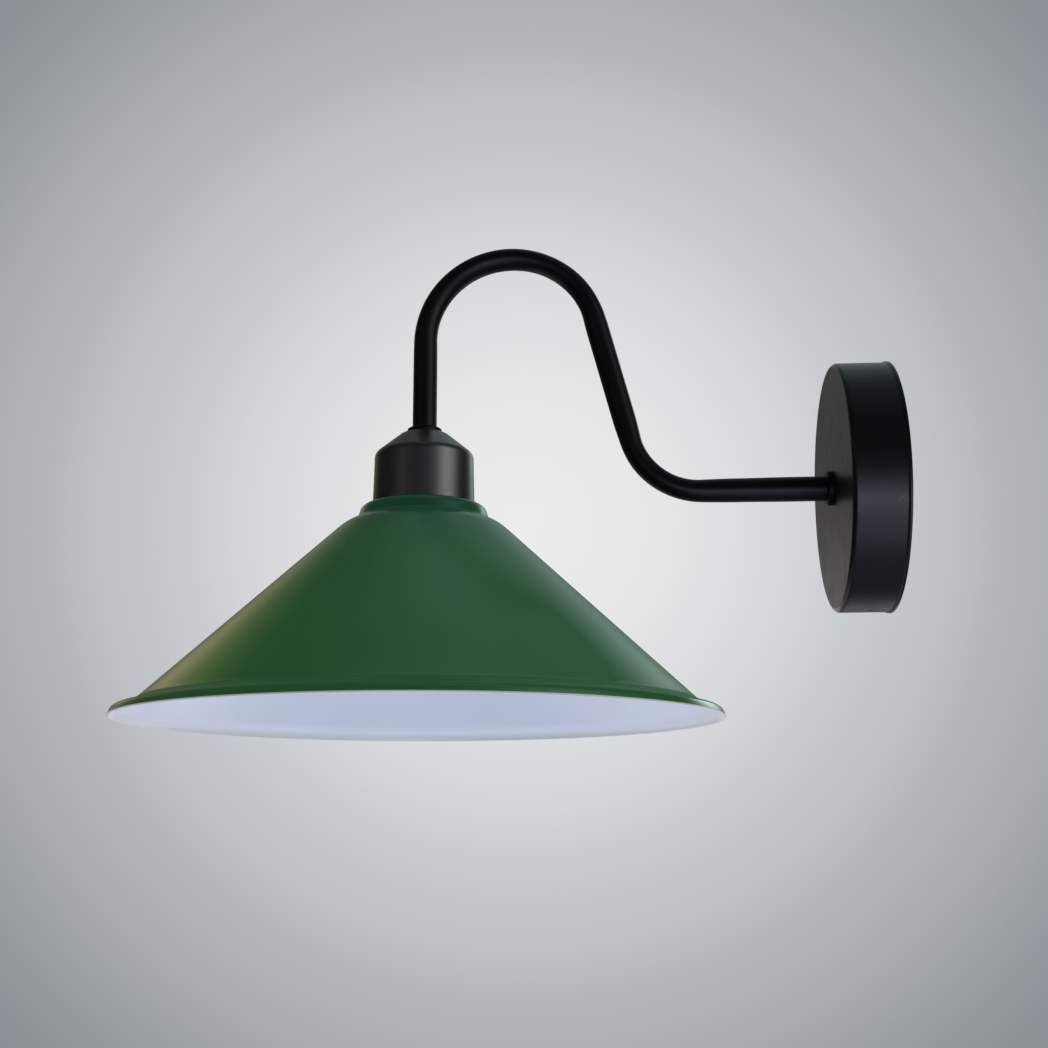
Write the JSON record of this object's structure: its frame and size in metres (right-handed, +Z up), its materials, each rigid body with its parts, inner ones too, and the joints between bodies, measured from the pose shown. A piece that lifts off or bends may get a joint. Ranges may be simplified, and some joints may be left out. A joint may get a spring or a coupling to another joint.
{
  "type": "gooseneck wall sconce",
  "caption": "Gooseneck wall sconce: round wall canopy, arched tube arm, lampholder cup and wide conical enamel shade with a flared lip.",
  "frame": {"origin": "centre of the canopy on the wall plane, midway between the wall slots", "axes": "+X into the wall, +Z up; the arm leaves the wall along -X and the lamp axis is vertical"},
  "size_m": [0.368, 0.287, 0.2392],
  "materials": {
    "black_powder_coat": "satin black powder coat on steel",
    "green_enamel": "glossy vitreous enamel on steel, dark green outside and white inside",
    "black_screw": "black oxide steel screw",
    "zinc_steel": "bright zinc-plated steel",
    "tinned_copper": "tinned copper",
    "brass": "bare brass",
    "white_plastic": "white polyamide",
    "black_plastic": "black thermoset, slightly glossy",
    "glazed_ceramic": "white glazed ceramic",
    "spring_steel": "spring wire",
    "brown_insulation": "brown wire insulation",
    "blue_insulation": "blue wire insulation",
    "green_yellow_insulation": "green and yellow wire insulation"
  },
  "bodies": {
    "fixture": {"canopy": "black_powder_coat", "wall_end_collar": "black_powder_coat", "gooseneck_tube": "black_powder_coat", "lamp_end_collar": "black_powder_coat", "lampholder_cup": "black_powder_coat", "canopy_side_screws": "black_screw", "mounting_plate": "zinc_steel", "earth_screw": "zinc_steel", "earth_ring_terminal": "tinned_copper", "terminal_block": "white_plastic", "terminal_inserts": "brass", "terminal_clamp_screws": "zinc_steel", "terminal_block_screws": "zinc_steel", "wall_end_nipple": "zinc_steel", "wall_end_lock_washer": "zinc_steel", "wall_end_nut": "zinc_steel", "lamp_end_nipple": "zinc_steel", "lamp_end_lock_washer": "zinc_steel", "lamp_end_nut": "zinc_steel", "lampholder_cap": "black_plastic", "cap_locking_screw": "zinc_steel", "lampholder_body": "black_plastic", "lampholder_insulator": "glazed_ceramic", "screw_shell": "brass", "shell_rivets": "brass", "contact_spring": "spring_steel", "live_terminal": "brass", "neutral_terminal": "brass", "holder_terminal_screws": "zinc_steel", "live_wire": "brown_insulation", "neutral_wire": "blue_insulation", "earth_wire": "green_yellow_insulation"},
    "shade": {"shade": "green_enamel"},
    "shade_ring": {"shade_ring": "black_plastic"},
    "centre_contact": {"centre_contact": "brass"}
  },
  "joints": [
    {"name": "shade_ring_turn", "type": "hinge", "parent": "shade", "child": "shade_ring", "pos_m": [-0.22445, 0, -0.012], "axis": [0, 0, -1], "range_deg": [0, 1440]},
    {"name": "shade_lower", "type": "slide", "parent": "fixture", "child": "shade", "axis": [0, 0, -1], "range_m": [0, 0.01]},
    {"name": "centre_contact_press", "type": "slide", "parent": "fixture", "child": "centre_contact", "axis": [0, 0, 1], "range_m": [0, 0.0018], "stiffness_N_per_m": 2500, "springref_m": -0.001, "deforming": ["contact_spring"]}
  ],
  "couplings": [
    {"joint": "shade_ring_turn", "follows": "shade_lower", "rad_per_m": 2513.3}
  ]
}
